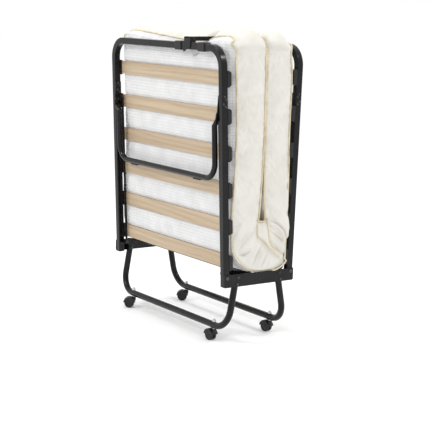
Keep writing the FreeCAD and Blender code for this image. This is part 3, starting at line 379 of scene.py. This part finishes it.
def panel(line):
    """A panel of ticking: rows along a seam line, columns across the bed."""
    run = np.concatenate([[0], np.cumsum(np.linalg.norm(np.diff(line, axis=0), axis=1))])
    across = np.linspace(-HALF_WIDTH, HALF_WIDTH, COLUMNS + 1)
    grid_y, grid_x = np.meshgrid(run, across, indexing="ij")
    grid_y, grid_x = rounded(grid_y, grid_x)
    y, z = (np.interp(grid_y, run, line[:, axis]) for axis in (0, 1))
    return np.stack([grid_x, y, z], -1), np.stack([grid_x, grid_y], -1)


def rim(rows, columns):
    """The grid points round a panel, in order: right side, rear end, left side, front end."""
    right = [(i, columns) for i in range(rows)]
    rear = [(rows, j) for j in range(columns, 0, -1)]
    left = [(i, 0) for i in range(rows, 0, -1)]
    front = [(0, j) for j in range(columns)]
    return right + rear + left + front


def half_axes(points):
    """Depth towards the mattress and height along the tube, in the axes of the nearer half."""
    side = np.where(points[:, 1] < CREASE_Y, -1.0, 1.0)
    y = HINGE_Y - side * points[:, 1]
    z = points[:, 2] - HINGE_Z
    depth = y * math.cos(LEAN) + z * math.sin(LEAN)
    up = -y * math.sin(LEAN) + z * math.cos(LEAN)
    return side, depth, up


def stroke(points, line, width, height):
    """A soft ridge, or a crease if height is negative, along a line on the end panels."""
    line = np.array(line, float)
    best = np.full(len(points), 1e9)
    along = np.zeros(len(points))
    spans = np.concatenate([[0], np.cumsum(np.linalg.norm(np.diff(line, axis=0), axis=1))])
    for i, (a, b) in enumerate(zip(line[:-1], line[1:])):
        d = b - a
        t = np.clip(((points[:, 1:] - a) @ d) / (d @ d), 0, 1)
        away = np.linalg.norm(points[:, 1:] - (a + t[:, None] * d), axis=1)
        nearer = away < best
        best = np.where(nearer, away, best)
        along = np.where(nearer, (spans[i] + t * (spans[i + 1] - spans[i])) / spans[-1], along)
    fade = np.sin(np.clip(along, 0.02, 0.98) * math.pi) ** 0.6
    return height * np.exp(-(best / width) ** 2) * fade


# Wrinkles pressed into the end panels by the bend: their line in Y and Z, half width and height.
WRINKLES = [
    ([(-55, 480), (-86, 452), (-103, 420)], 11, 3.0),
    ([(-22, 436), (-62, 408), (-96, 372)], 10, 5.5),
    ([(-30, 424), (-66, 393), (-100, 352)], 7, -4.0),
    ([(-44, 352), (-70, 338), (-92, 340)], 6, -4.5),
    ([(-40, 362), (-66, 350), (-90, 352)], 7, 4.0),
    ([(-12, 372), (-44, 322), (-62, 300)], 9, 3.6),
    ([(2, 366), (-18, 320), (-34, 286)], 8, -3.2),
    ([(10, 362), (2, 320), (-8, 282)], 9, 3.4),
    ([(34, 342), (18, 306), (4, 280)], 8, -3.0),
    ([(48, 334), (44, 305), (40, 278)], 8, 3.6),
    ([(66, 322), (78, 296), (84, 282)], 8, 2.8),
    ([(36, 478), (62, 466), (96, 432), (122, 396)], 9, 4.2),
    ([(44, 458), (76, 444), (104, 418), (126, 372)], 6, -4.0),
    ([(40, 444), (72, 432), (98, 404), (124, 352)], 9, 4.6),
    ([(40, 420), (74, 396), (118, 366)], 8, -2.8),
    ([(48, 384), (84, 356), (122, 342)], 9, 3.4),
    ([(62, 352), (92, 332), (120, 318)], 7, -3.2),
]

# The slack of the inner seam hangs out below the crease as a tuck: the lines of its two edges.
TUCK_FRONT = [(-7, 466), (-11, 440), (-15, 418), (-13, 400), (2, 389), (22, 370), (40, 351), (58, 336),
              (76, 325), (92, 311)]
TUCK_REAR = [(34, 464), (33, 440), (34, 412), (37, 386), (47, 364), (62, 349), (80, 338), (97, 325)]


def tuck(points):
    """How far the tuck stands out of the end panels at each point."""
    height, overlap = 7.5, 5
    front, rear = smooth_line(TUCK_FRONT, 60), smooth_line(TUCK_REAR, 60)
    middle, wide = (front + rear) / 2, np.linalg.norm(front - rear, axis=1) / 2
    away = np.linalg.norm(points[:, None, 1:] - middle[None], axis=2)
    nearest = away.argmin(axis=1)
    gap = away[np.arange(len(points)), nearest]
    inside = np.clip(1 - gap / (wide[nearest] + overlap), 0, 1)
    return height * np.sqrt(inside)


def end_detail(points):
    """How far the tuck and the wrinkles stand out of the end panels at each point."""
    narrower, higher = 0.8, 1.7
    out = tuck(points)
    for line, width, height in WRINKLES:
        out = out + stroke(points, line, width * narrower, height * higher)
    return out


def press_ends(points, seam_lines):
    """Presses the tuck and the wrinkles into the end panels. Returns how much painted shade each point
    gets in the creases, along the tuck's edges and in the opening between the layers.
    """
    ends_from, bend_top = HALF_WIDTH - 5, 700
    crease_shade = np.zeros(len(points))
    near = np.flatnonzero(np.abs(points[:, 0]) > ends_from)
    place = points[near]
    away = np.full(len(near), 1e9)
    for line in seam_lines:
        for spot in line[line[:, 1] < bend_top]:
            away = np.minimum(away, np.hypot(place[:, 1] - spot[0], place[:, 2] - spot[1]))
    weight = step(away, 2, 17) * step(np.abs(place[:, 0]), ends_from, HALF_WIDTH + 2)
    points[near, 0] += np.sign(place[:, 0]) * end_detail(place) * weight
    # Painted shade along the creases that the wrinkles of negative height press in.
    for line, _, height in WRINKLES:
        if height < 0:
            crease_shade[near] += stroke(place, line, 2.6, 0.42) * weight
    # Painted shade along both edges of the tuck.
    for line in (TUCK_FRONT[2:], TUCK_REAR):
        crease_shade[near] += stroke(place, line, 4.0, 0.5) * weight
    # Painted shadow in the opening of the crease between the two layers, stronger lower down towards
    # the bend.
    crease = np.abs(points[:, 1] - CREASE_Y) < 24
    crease &= (np.abs(points[:, 0]) < HALF_WIDTH - 3) & (points[:, 2] > 440)
    crease_shade[crease] = 0.75 * step(bend_top - points[crease, 2], 0, 200)
    return np.clip(crease_shade, 0, 0.85)


def latch_dip(points):
    """How far the latch arm presses down the top of the mattress: a wide sag and a trough."""
    base, arm_underside = 1040.0, 1101.5
    x, y, z = points.T
    left = 32 * np.clip(1 - (LATCH_X - x) / 470, 0, 1) ** 1.15
    right = 26 * np.exp(-((x - LATCH_X) / 62) ** 2)
    sag = np.where(x < LATCH_X, left, right) * step(-y, -30, 95) * step(z, 1030, 1120)
    above = np.clip(z - sag - base, 0, None)
    squeeze = (arm_underside - base) / (np.max(z) - base)
    trough = np.exp(-np.abs((x - LATCH_X) / 27) ** 4)
    return sag + above * (1 - squeeze) * trough


class Grid:
    """The cover's quads: its points, and for each quad its corners, kind, flat place and row."""

    def __init__(self, points, faces, kinds, flats, rows):
        self.points, self.faces, self.kinds, self.flats, self.rows = points, faces, kinds, flats, rows


class Sewing:
    """Where the cover's pieces lie in its grid: the size of a panel, its rim, seams and band."""

    def __init__(self, count, edge, seams, band):
        self.count, self.edge, self.seams, self.band = count, edge, seams, band


def build_cover():
    """The mattress cover as one closed grid: two panels of ticking joined by a band of boxing."""
    outer_line, inner_line = seam_line(OUTER), seam_line(INNER)
    outer, outer_flat = panel(outer_line)
    inner, inner_flat = panel(inner_line)
    rows, columns = len(outer_line) - 1, COLUMNS
    count = (rows + 1) * (columns + 1)
    edge = rim(rows, columns)

    outer_rim = np.array([outer[i, j] for i, j in edge])
    inner_rim = np.array([inner[i, j] for i, j in edge])
    band = [outer_rim * (1 - k / BAND) + inner_rim * (k / BAND) for k in range(1, BAND)]
    points = np.vstack([outer.reshape(-1, 3), inner.reshape(-1, 3), *band])

    def outer_at(i, j):
        return i * (columns + 1) + j

    def inner_at(i, j):
        return count + i * (columns + 1) + j

    def band_at(k, e):
        e %= len(edge)
        if k == 0:
            return outer_at(*edge[e])
        if k == BAND:
            return inner_at(*edge[e])
        return 2 * count + (k - 1) * len(edge) + e

    faces, kinds, flats, face_rows = [], [], [], []
    steps = np.diff(np.vstack([outer_rim, outer_rim[:1]]), axis=0)
    rim_run = np.concatenate([[0], np.cumsum(np.linalg.norm(steps, axis=1))])
    for i in range(rows):
        for j in range(columns):
            corners = [(i, j), (i, j + 1), (i + 1, j + 1), (i + 1, j)]
            faces.append([outer_at(*c) for c in corners])
            flats.append([outer_flat[c] for c in corners])
            faces.append([inner_at(*c) for c in reversed(corners)])
            flats.append([inner_flat[c] for c in reversed(corners)])
            kinds += [TICKED, TICKED]
            face_rows += [i, i]
    for e in range(len(edge)):
        ends = (edge[e][0], edge[(e + 1) % len(edge)][0])
        for k in range(BAND):
            corners = [(k, e), (k + 1, e), (k + 1, e + 1), (k, e + 1)]
            faces.append([band_at(*c) for c in corners])
            flats.append([(rim_run[c[1]], c[0] * BAND_WIDTH / BAND) for c in corners])
            kinds.append(BOXED)
            face_rows.append(min(ends))
    faces, flats = [f[::-1] for f in faces], [f[::-1] for f in flats]
    seams = ([outer_at(*c) for c in edge], [inner_at(*c) for c in edge])
    sewing = Sewing(count, edge, seams, np.arange(2 * count, len(points)))
    return Grid(points, faces, np.array(kinds), flats, np.array(face_rows)), sewing


def mesh_object(name, points, faces):
    mesh = bpy.data.meshes.new(name)
    mesh.from_pydata([tuple(p) for p in points], [], faces)
    mesh.update()
    made = bpy.data.objects.new(name, mesh)
    bpy.context.scene.collection.objects.link(made)
    return made


def read_points(mesh):
    flat = np.empty(len(mesh.vertices) * 3)
    mesh.vertices.foreach_get("co", flat)
    return flat.reshape(-1, 3)


def vertex_normals(points, faces):
    """Smooth normals of a quad mesh."""
    quads = np.array(faces)
    a, b, c, d = (points[quads[:, corner]] for corner in range(4))
    across = np.cross(c - a, d - b)
    total = np.zeros_like(points)
    for corner in range(4):
        np.add.at(total, quads[:, corner], across)
    return total / np.maximum(np.linalg.norm(total, axis=1, keepdims=True), 1e-12)


def inflate(points, faces, seams):
    """Blows the cover up as cloth held along its seams, which leaves soft creases in it."""
    made = mesh_object("cover_cloth", points * MM, faces)
    held = made.vertex_groups.new(name="seams")
    held.add([int(i) for line in seams for i in line], 1.0, "REPLACE")
    cloth_modifier = made.modifiers.new("Cloth", "CLOTH")
    settings = cloth_modifier.settings
    settings.quality = 5
    settings.mass = 0.2
    settings.tension_stiffness = 14
    settings.compression_stiffness = 12
    settings.shear_stiffness = 6
    settings.bending_stiffness = 0.4
    settings.air_damping = 2
    settings.vertex_group_mass = "seams"
    settings.use_pressure = True
    settings.uniform_pressure_force = 3.5
    settings.shrink_min = -0.035
    settings.effector_weights.gravity = 0
    cloth_modifier.collision_settings.use_collision = False
    scene, cache = bpy.context.scene, cloth_modifier.point_cache
    scene.frame_start, scene.frame_end = 1, SIM_FRAMES
    cache.frame_start, cache.frame_end = 1, SIM_FRAMES
    for number in range(1, SIM_FRAMES + 1):
        scene.frame_set(number)
    ready = made.evaluated_get(bpy.context.evaluated_depsgraph_get())
    result = read_points(ready.data).copy() / MM
    scene.frame_set(1)
    bpy.data.objects.remove(made)
    move = result - points
    far = np.linalg.norm(move, axis=1, keepdims=True)
    x, z = points[:, :1], points[:, 2:]
    most = np.where(z < 620, 7.0, np.where(z > 1110, 15.0, 22.0))
    most = np.where(np.abs(x) > AT_SIDE, 6.0, most)
    return points + move * np.minimum(1, most / np.maximum(far, 1e-9))


def soft_edge(away, width):
    """0 at an edge and 1 from a width inside it, along a quarter circle."""
    return np.sqrt(1 - (1 - np.clip(away / width, 0, 1)) ** 2)


def on_slats(up, reach, fade):
    """1 behind the slats and 0 between them, at some heights along the tube."""
    slat = np.zeros(len(up))
    for middle in SLAT_UP:
        slat = np.maximum(slat, 1 - step(np.abs(up - middle), reach, fade))
    return slat


def crown_outer(grid, normal, end_away):
    """The outer panel: it rests on the slats, swells between them and is full round the bend."""
    edge_away = np.minimum(HALF_WIDTH - np.abs(grid[:, 0]), 400)
    round_off = soft_edge(np.minimum(edge_away, end_away), 46)

    side, depth, up = half_axes(grid)
    slat = on_slats(up, 25, 50)
    between = (1 - slat) * step(up, 190, 260) * step(870 - up, 10, 60)
    inside = step(372 - np.abs(grid[:, 0]), 0, 26)
    rest_depth = 27.0 - 7.0 * between * inside
    reach = (depth - rest_depth) * round_off
    reach += 1.4 * ramp_noise(3, grid, 260) * round_off * (1 - slat)
    in_bend = step(470 - grid[:, 2], 0, 110)
    bend_reach = 7.0 * round_off
    out = normal.copy()
    out[:, 0] *= 0.15
    plain = np.zeros_like(out)
    plain[:, 1] = side * math.cos(LEAN)
    plain[:, 2] = -math.sin(LEAN)
    way = plain * (1 - in_bend[:, None]) + out * in_bend[:, None]
    return grid + way * (reach * (1 - in_bend) + bend_reach * in_bend)[:, None]


def level_inner(inner, end_away, row_of, rows):
    """The Y of the inner panel's points: its two layers lie flat, 1 mm either side of the crease."""
    layer = np.where(row_of < rows // 2, -1.0, 1.0)
    soft = soft_edge(np.minimum(HALF_WIDTH - np.abs(inner[:, 0]), end_away), 50)
    target = CREASE_Y + layer
    return inner[:, 1] + (target - inner[:, 1]) * soft * step(inner[:, 2], 452, 520)


def fill_band(band, normal, columns):
    """The boxing: high and wavy along the tops, a little full on the ends."""
    steps = np.repeat(np.arange(1, BAND), columns) / BAND
    crown = (4 * steps * (1 - steps)) ** 0.55
    ends = np.abs(np.abs(band[:, 0]) - HALF_WIDTH) < 1.0
    wave = ramp_noise(11, band * np.array([1.0, 1.6, 0.5]), 150)
    push = np.where(ends, 9.0 + 2.2 * wave, 25.0 + 3.0 * wave) * crown
    way = normal.copy()
    way[ends] = 0
    way[ends, 0] = np.sign(band[ends, 0])
    return band + way * push[:, None]


def shape_cover(grid, sewing):
    """The padded shape: panels on the slats, a full band and a rear seam that bulges low down."""
    base, count = grid.points.copy(), sewing.count
    points = grid.points.copy()
    normal = vertex_normals(base, grid.faces)
    row_length = 8.6
    rows = count // (COLUMNS + 1)
    row_of = np.repeat(np.arange(rows), COLUMNS + 1)
    end_away = np.minimum(row_of, rows - 1 - row_of) * row_length

    points[:count] = crown_outer(base[:count], normal[:count], end_away)
    points[count:2 * count, 1] = level_inner(base[count:2 * count], end_away, row_of, rows)
    points[sewing.band] = fill_band(base[sewing.band], normal[sewing.band], len(sewing.edge))
    for line in sewing.seams:
        x, y, z = points[line].T
        bulge = 7.0 * step(730 - z, 0, 220) * (y > 60)
        points[line, 0] += np.sign(x) * bulge * (np.abs(x) > AT_SIDE)
    return points


def keep_clear(points):
    """Keeps the cover off the slats, their holders, the side plates and the cross tubes."""
    between_slats, slat_depth, behind_holder, past_frame = 19.2, 7.6, 29.5, 4.0
    tray = 268.6
    side, depth, up = half_axes(points)
    x, z = np.abs(points[:, 0]), points[:, 2]
    least = between_slats + slat_depth * on_slats(up, 26, 46)
    least = least + (behind_holder - least) * step(x, 352, 371)
    least = np.where(x > 401.5, past_frame, least)
    lack = np.clip(least - depth, 0, None) * (z > 300)
    points[:, 1] -= side * lack
    points[:, 2] = np.where(z < tray + 6, np.maximum(z, tray), z)
    return points


def cut_mesh(name, grid, normals, crease_shading, keep):
    """One object from some of the quads, with the whole cover's smooth normals and its painted crease
    shade as a point attribute.
    """
    kept = np.flatnonzero(keep)
    faces = [grid.faces[i] for i in kept]
    used = sorted({corner for face in faces for corner in face})
    new = {old: i for i, old in enumerate(used)}
    made = mesh_object(name, grid.points[used] * MM, [[new[c] for c in face] for face in faces])
    made.data.materials.append(TICKING)
    made.data.materials.append(BOXING)
    made.data.polygons.foreach_set("material_index", [int(grid.kinds[i]) for i in kept])
    layer = made.data.uv_layers.new(name="cloth")
    flat = [v * MM for i in kept for corner in grid.flats[i] for v in corner]
    layer.data.foreach_set("uv", flat)
    # The painted shade in creases, kept per point for the cloth material to darken by.
    depth = made.data.attributes.new("crease_shade", "FLOAT", "POINT")
    depth.data.foreach_set("value", crease_shading[used])
    made.data.shade_smooth()
    made.data.normals_split_custom_set_from_vertices([tuple(n) for n in normals[used]])
    return made


def subdivided(grid):
    """Each quad of the cover as four, smoothed, with its kind, flat place and row carried along."""
    made = mesh_object("cover_fine", grid.points, grid.faces)
    layer = made.data.uv_layers.new(name="cloth")
    layer.data.foreach_set("uv", [float(v) for f in grid.flats for corner in f for v in corner])
    for word, values in (("kind", grid.kinds), ("row", grid.rows)):
        attribute = made.data.attributes.new(word, "INT", "FACE")
        attribute.data.foreach_set("value", [int(v) for v in values])
    modifier = made.modifiers.new("Subdivision", "SUBSURF")
    modifier.levels = modifier.render_levels = 1
    modifier.uv_smooth = "NONE"
    ready = made.evaluated_get(bpy.context.evaluated_depsgraph_get()).to_mesh()
    points = read_points(ready).copy()
    corners = np.empty(len(ready.loops), int)
    ready.loops.foreach_get("vertex_index", corners)
    uv = np.empty(len(ready.loops) * 2)
    ready.uv_layers["cloth"].data.foreach_get("uv", uv)
    found = {}
    for word in ("kind", "row"):
        found[word] = np.empty(len(ready.polygons), int)
        ready.attributes[word].data.foreach_get("value", found[word])
    bpy.data.objects.remove(made)
    faces, flats = corners.reshape(-1, 4).tolist(), uv.reshape(-1, 4, 2)
    return Grid(points, faces, found["kind"], flats, found["row"])


def tube(name, line, radius):
    """A cord of cloth along a line of points, as a quad mesh with blunt tips."""
    sides, strip = 10, 2.3
    line = np.array(line, float)
    count = len(line)
    ahead = np.roll(line, -1, 0) - np.roll(line, 1, 0)
    ahead[0], ahead[-1] = line[1] - line[0], line[-1] - line[-2]
    ahead /= np.linalg.norm(ahead, axis=1, keepdims=True)
    side = np.cross(ahead[0], (0.3, 0.2, 0.93))
    points, run = [], [0.0]
    for i in range(count):
        side = side - ahead[i] * (side @ ahead[i])
        side /= np.linalg.norm(side)
        other = np.cross(ahead[i], side)
        for k in range(sides):
            a = 2 * math.pi * k / sides
            points.append(line[i] + radius * (math.cos(a) * side + math.sin(a) * other))
        run.append(run[-1] + np.linalg.norm(line[(i + 1) % count] - line[i]))
    faces, flats = [], []
    for i in range(count - 1):
        for k in range(sides):
            m = (k + 1) % sides
            near, far = i * sides, (i + 1) * sides
            faces.append([near + k, near + m, far + m, far + k])
            low, high = k * strip, (k + 1) * strip
            flats += [run[i], low, run[i], high, run[i + 1], high, run[i + 1], low]
    for i, turn in ((0, -1), (count - 1, 1)):
        ring = [i * sides + k for k in range(sides)][::turn]
        points.append(line[i] + ahead[i] * radius * 0.7 * turn)
        tip = len(points) - 1
        for k in range(sides):
            faces.append([ring[k], ring[(k + 1) % sides], tip])
            flats += [run[i], 0, run[i], 2, run[i] + 2, 1]
    made = mesh_object(name, np.array(points) * MM, faces)
    layer = made.data.uv_layers.new(name="cloth")
    layer.data.foreach_set("uv", [v * MM for v in flats])
    made.data.shade_smooth()
    made.data.materials.append(PIPING)
    return made


def joined(name, pieces):
    """Several new meshes as one."""
    with bpy.context.temp_override(active_object=pieces[0], selected_editable_objects=pieces):
        bpy.ops.object.join()
    pieces[0].name = name
    return pieces[0]


def runs_of(flags):
    """Stretches of True in a ring of flags, as lists of positions."""
    count = len(flags)
    start = next((i for i in range(count) if flags[i] and not flags[i - 1]), 0)
    runs, now = [], []
    for i in range(start, start + count):
        if flags[i % count]:
            now.append(i % count)
        elif now:
            runs.append(now)
            now = []
    if now:
        runs.append(now)
    return runs


def seam_cords(points, faces, sewing, turn_row):
    """Piping along both seams, cut where the front half's part of the cover meets the rear's."""
    outward = vertex_normals(points, faces)
    rows = np.array([row for row, _ in sewing.edge])
    cords = {"front": [], "rear": []}
    for which, line in enumerate(sewing.seams):
        place = points[line] + outward[line] * CORD_LIFT
        for part, flags in (("front", rows <= turn_row), ("rear", rows >= turn_row)):
            for run in runs_of(list(flags)):
                cords[part].append(tube(f"cord_{part}_{which}", place[run], CORD_RADIUS))
    return cords


def tuck_cord(points, side, path, name):
    """Piping along one edge of a tuck, on the end panel's surface, with its lower end buried."""
    nearest, buried, bury_depth, ends_from = 4, 8, 4.5, HALF_WIDTH - 3
    surface = points[points[:, 0] * side > ends_from]
    fine = smooth_line(path, 44)
    away = np.hypot(surface[:, 1, None] - fine[:, 0], surface[:, 2, None] - fine[:, 1])
    closest = [np.argsort(away[:, i])[:nearest] for i in range(len(fine))]
    x = [np.abs(surface[spots, 0]).mean() for spots in closest]
    x = np.convolve(np.pad(x, 2, "edge"), np.ones(5) / 5, "valid")
    bury = np.concatenate([np.zeros(len(fine) - buried), np.linspace(0, bury_depth, buried)])
    line = np.column_stack([side * (x + TUCK_CORD_LIFT - bury), fine])
    return tube(name, line, TUCK_CORD_RADIUS)


def make_mattress():
    """The cover and its piping, each in a front and a rear piece that meet in the bend."""
    grid, sewing = build_cover()
    grid.points = shape_cover(grid, sewing)
    grid.points = inflate(grid.points, grid.faces, sewing.seams)
    grid.points[:, 2] -= latch_dip(grid.points)
    grid.points = keep_clear(grid.points)

    turn_row = ROWS["front"] + ROWS["turn_in"]
    cords = seam_cords(grid.points, grid.faces, sewing, turn_row)
    grid = subdivided(grid)
    # How much painted shade each point gets in the creases, along the tuck's edges and in the crease
    # opening.
    crease_shading = press_ends(grid.points, (seam_line(OUTER), seam_line(INNER)))
    for side in (-1, 1):
        for which, (part, path) in enumerate((("front", TUCK_FRONT), ("rear", TUCK_REAR))):
            cords[part].append(tuck_cord(grid.points, side, path, f"cord_tuck_{which}"))

    normals = vertex_normals(grid.points, grid.faces)
    covers = {}
    for part, keep in (("front", grid.rows < turn_row), ("rear", grid.rows >= turn_row)):
        covers[part] = cut_mesh(f"mattress_cover_{part}", grid, normals, crease_shading, keep)
        covers[part + "_cord"] = joined(f"mattress_piping_{part}", cords[part])
    return covers


def fasten_mattress(covers):
    """Bakes the transform of each layer's cover and piping, and hides the mattress parts from
    model.glb.
    """
    for part, way in (("front", -1), ("rear", 1)):
        for piece in (covers[part], covers[part + "_cord"]):
            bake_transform(piece)
    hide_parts("mattress_front", "mattress_bend")
    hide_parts("mattress_rear")


fasten_mattress(make_mattress())


# ------------------------------------------------------------------ floor, light and camera

def floor():
    bpy.ops.mesh.primitive_plane_add(size=60, location=(0, 0, -0.0005))
    ground = bpy.context.object
    ground.name = "floor"
    tree = Tree("floor_white")
    patches = tree.noise(3.0, 3)
    tree.set(Base_Color=tree.mix(tree.between(patches, 0.0, 1.0), grey(0.93), grey(0.96)),
             Roughness=0.9, Specular_IOR_Level=0.0, Emission_Color=(1, 1, 1, 1),
             Emission_Strength=0.07)
    ground.data.materials.append(tree.material)


def area_light(name, place, aim, size, power):
    data = bpy.data.lights.new(name, "AREA")
    data.size, data.energy = size, power
    lamp = bpy.data.objects.new(name, data)
    lamp.location = place
    lamp.rotation_mode = "QUATERNION"
    lamp.rotation_quaternion = (Vector(aim) - Vector(place)).to_track_quat("-Z", "Y")
    bpy.context.scene.collection.objects.link(lamp)


def light():
    world = bpy.data.worlds.new("studio")
    world.use_nodes = True
    world.node_tree.nodes["Background"].inputs["Color"].default_value = (1, 1, 1, 1)
    world.node_tree.nodes["Background"].inputs["Strength"].default_value = 1.0
    bpy.context.scene.world = world
    area_light("key", (-0.8, -3.6, 3.2), (0, 0, 0.6), 0.4, 46)
    area_light("top", (-0.3, -0.2, 4.2), (0, 0, 0.5), 0.8, 34)
    area_light("side", (2.2, 1.5, 3.4), (0.3, 0, 0.6), 0.5, 30)
    bpy.context.scene.view_settings.view_transform = "Standard"


def camera():
    data = bpy.data.cameras.new("camera")
    data.lens, data.sensor_width = 107.6, 36
    view = bpy.data.objects.new("camera", data)
    place, aim = Vector((4.2238, -2.7342, 1.2763)), Vector((0.0362, 0.0547, 0.4110))
    roll = Quaternion((0, 0, 1), math.radians(1.0))
    turn = (aim - place).to_track_quat("-Z", "Y") @ roll
    view.matrix_world = Matrix.Translation(place) @ turn.to_matrix().to_4x4()
    bpy.context.scene.collection.objects.link(view)
    bpy.context.scene.camera = view


floor()
light()
camera()
